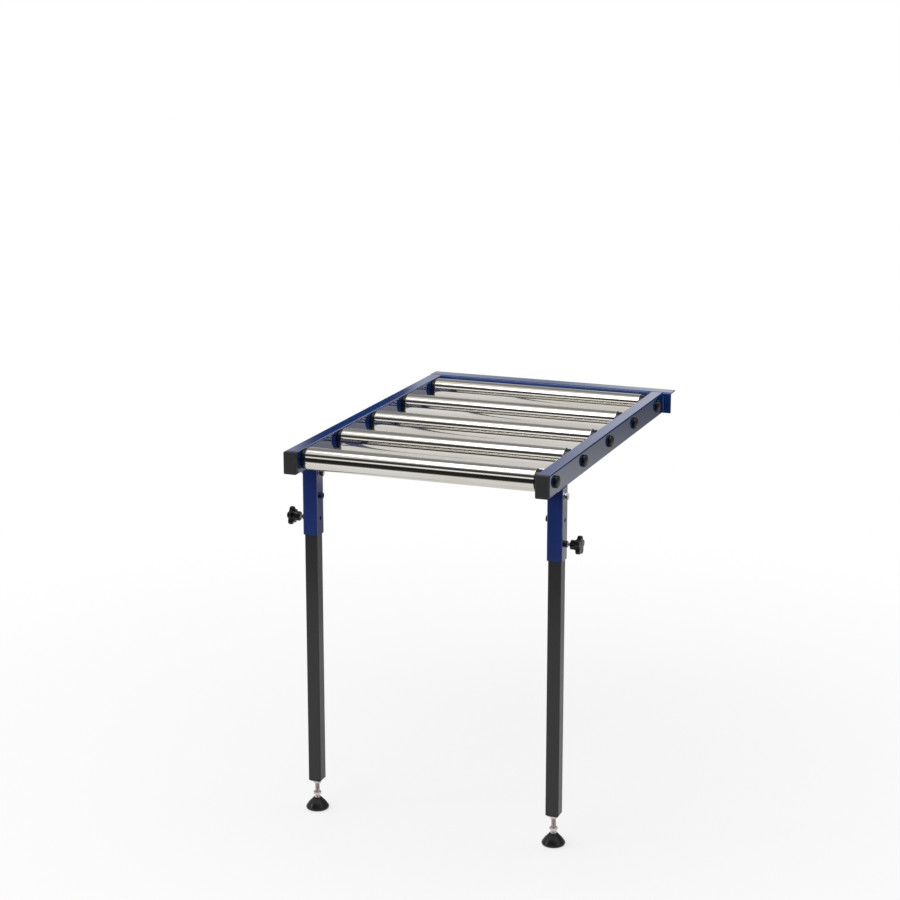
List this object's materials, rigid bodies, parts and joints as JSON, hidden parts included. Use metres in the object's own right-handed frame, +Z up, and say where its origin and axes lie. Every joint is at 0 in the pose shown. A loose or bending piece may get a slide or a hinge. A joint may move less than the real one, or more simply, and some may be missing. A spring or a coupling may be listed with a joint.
{
  "type": "roller side table",
  "caption": "Side table of free-turning rollers between two square-tube rails, with a hook flange at the back and clamped telescopic legs with levelling feet at the front.",
  "frame": {"origin": "on the floor, under the middle of the table's outer box", "axes": "+X along the rollers to the side where the hook flange stands out, +Y back to the hook flange, +Z up"},
  "size_m": [0.678, 0.902, 0.8629],
  "materials": {
    "blue_paint": "gloss",
    "black_paint": "semi-gloss",
    "roller_chrome": "polished",
    "shaft_steel": "drawn",
    "bearing_steel": "ground",
    "zinc_steel": "zinc plated",
    "bright_zinc": "bright zinc",
    "dark_steel": "black oxide",
    "black_plastic": "moulded",
    "knob_plastic": "semi-gloss"
  },
  "bodies": {
    "root": {"left_rail": "blue_paint", "right_rail": "blue_paint", "hook_angle": "blue_paint", "left_rail_cap": "black_plastic", "right_rail_cap": "black_plastic", "left_hole_plugs": "black_plastic", "right_hole_plugs": "black_plastic", "left_roller_bolts": "zinc_steel", "right_roller_bolts": "zinc_steel", "left_roller_washers": "zinc_steel", "right_roller_washers": "zinc_steel", "roller_1_shaft": "shaft_steel", "roller_2_shaft": "shaft_steel", "roller_3_shaft": "shaft_steel", "roller_4_shaft": "shaft_steel", "roller_5_shaft": "shaft_steel", "left_leg_stub": "blue_paint", "left_socket": "blue_paint", "left_weld_nuts": "blue_paint", "left_fixing_bolt": "bright_zinc", "left_fixing_washers": "bright_zinc", "left_fixing_nut": "dark_steel", "right_leg_stub": "blue_paint", "right_socket": "blue_paint", "right_weld_nuts": "blue_paint", "right_fixing_bolt": "bright_zinc", "right_fixing_washers": "bright_zinc", "right_fixing_nut": "dark_steel"},
    "roller_1": {"roller_1_tube": "roller_chrome", "roller_1_end_caps": "black_plastic", "roller_1_bearings": "bearing_steel"},
    "roller_2": {"roller_2_tube": "roller_chrome", "roller_2_end_caps": "black_plastic", "roller_2_bearings": "bearing_steel"},
    "roller_3": {"roller_3_tube": "roller_chrome", "roller_3_end_caps": "black_plastic", "roller_3_bearings": "bearing_steel"},
    "roller_4": {"roller_4_tube": "roller_chrome", "roller_4_end_caps": "black_plastic", "roller_4_bearings": "bearing_steel"},
    "roller_5": {"roller_5_tube": "roller_chrome", "roller_5_end_caps": "black_plastic", "roller_5_bearings": "bearing_steel"},
    "left_leg": {"left_leg": "black_paint", "left_leg_insert": "black_plastic", "left_lock_nut": "zinc_steel"},
    "left_clamp_stud": {"left_clamp_stud": "zinc_steel"},
    "left_knob": {"left_knob": "knob_plastic"},
    "left_foot_stud": {"left_foot_stud": "zinc_steel"},
    "left_foot_hexagon": {"left_foot_hexagon": "zinc_steel"},
    "left_foot_pad": {"left_foot_pad": "knob_plastic"},
    "right_leg": {"right_leg": "black_paint", "right_leg_insert": "black_plastic", "right_lock_nut": "zinc_steel"},
    "right_clamp_stud": {"right_clamp_stud": "zinc_steel"},
    "right_knob": {"right_knob": "knob_plastic"},
    "right_foot_stud": {"right_foot_stud": "zinc_steel"},
    "right_foot_hexagon": {"right_foot_hexagon": "zinc_steel"},
    "right_foot_pad": {"right_foot_pad": "knob_plastic"}
  },
  "joints": [
    {"name": "roller_1_spin", "type": "hinge", "parent": "root", "child": "roller_1", "pos_m": [0, -0.405, 0.838], "axis": [1, 0, 0], "continuous": true},
    {"name": "roller_2_spin", "type": "hinge", "parent": "root", "child": "roller_2", "pos_m": [0, -0.214, 0.838], "axis": [1, 0, 0], "continuous": true},
    {"name": "roller_3_spin", "type": "hinge", "parent": "root", "child": "roller_3", "pos_m": [0, -0.023, 0.838], "axis": [1, 0, 0], "continuous": true},
    {"name": "roller_4_spin", "type": "hinge", "parent": "root", "child": "roller_4", "pos_m": [0, 0.168, 0.838], "axis": [1, 0, 0], "continuous": true},
    {"name": "roller_5_spin", "type": "hinge", "parent": "root", "child": "roller_5", "pos_m": [0, 0.359, 0.838], "axis": [1, 0, 0], "continuous": true},
    {"name": "left_leg_slide", "type": "slide", "parent": "root", "child": "left_leg", "axis": [0, 0, 1], "range_m": [-0.025, 0.035]},
    {"name": "left_clamp_travel", "type": "slide", "parent": "root", "child": "left_clamp_stud", "axis": [-1, 0, 0], "range_m": [0, 0.00625]},
    {"name": "left_knob_turn", "type": "hinge", "parent": "left_clamp_stud", "child": "left_knob", "pos_m": [-0.3, -0.3385, 0.686], "axis": [-1, 0, 0], "range_deg": [0, 1801]},
    {"name": "left_foot_travel", "type": "slide", "parent": "left_leg", "child": "left_foot_stud", "axis": [0, 0, -1], "range_m": [-0.02, 0.025]},
    {"name": "left_foot_turn", "type": "hinge", "parent": "left_foot_stud", "child": "left_foot_hexagon", "pos_m": [-0.2825, -0.3385, 0.0255], "axis": [0, 0, -1], "range_deg": [-4801, 6001]},
    {"name": "left_pad_tilt", "type": "hinge", "parent": "left_foot_stud", "child": "left_foot_pad", "pos_m": [-0.2825, -0.3385, 0.0255], "axis": [1, 0, 0], "range_deg": [-12, 12]},
    {"name": "right_leg_slide", "type": "slide", "parent": "root", "child": "right_leg", "axis": [0, 0, 1], "range_m": [-0.025, 0.035]},
    {"name": "right_clamp_travel", "type": "slide", "parent": "root", "child": "right_clamp_stud", "axis": [1, 0, 0], "range_m": [0, 0.00625]},
    {"name": "right_knob_turn", "type": "hinge", "parent": "right_clamp_stud", "child": "right_knob", "pos_m": [0.3, -0.3385, 0.686], "axis": [1, 0, 0], "range_deg": [0, 1801]},
    {"name": "right_foot_travel", "type": "slide", "parent": "right_leg", "child": "right_foot_stud", "axis": [0, 0, -1], "range_m": [-0.02, 0.025]},
    {"name": "right_foot_turn", "type": "hinge", "parent": "right_foot_stud", "child": "right_foot_hexagon", "pos_m": [0.2825, -0.3385, 0.0255], "axis": [0, 0, -1], "range_deg": [-4801, 6001]},
    {"name": "right_pad_tilt", "type": "hinge", "parent": "right_foot_stud", "child": "right_foot_pad", "pos_m": [0.2825, -0.3385, 0.0255], "axis": [1, 0, 0], "range_deg": [-12, 12]}
  ],
  "couplings": [
    {"joint": "left_knob_turn", "follows": "left_clamp_travel", "rad_per_m": 5026.5},
    {"joint": "left_foot_turn", "follows": "left_foot_travel", "rad_per_m": 4188.8},
    {"joint": "right_knob_turn", "follows": "right_clamp_travel", "rad_per_m": 5026.5},
    {"joint": "right_foot_turn", "follows": "right_foot_travel", "rad_per_m": 4188.8}
  ]
}
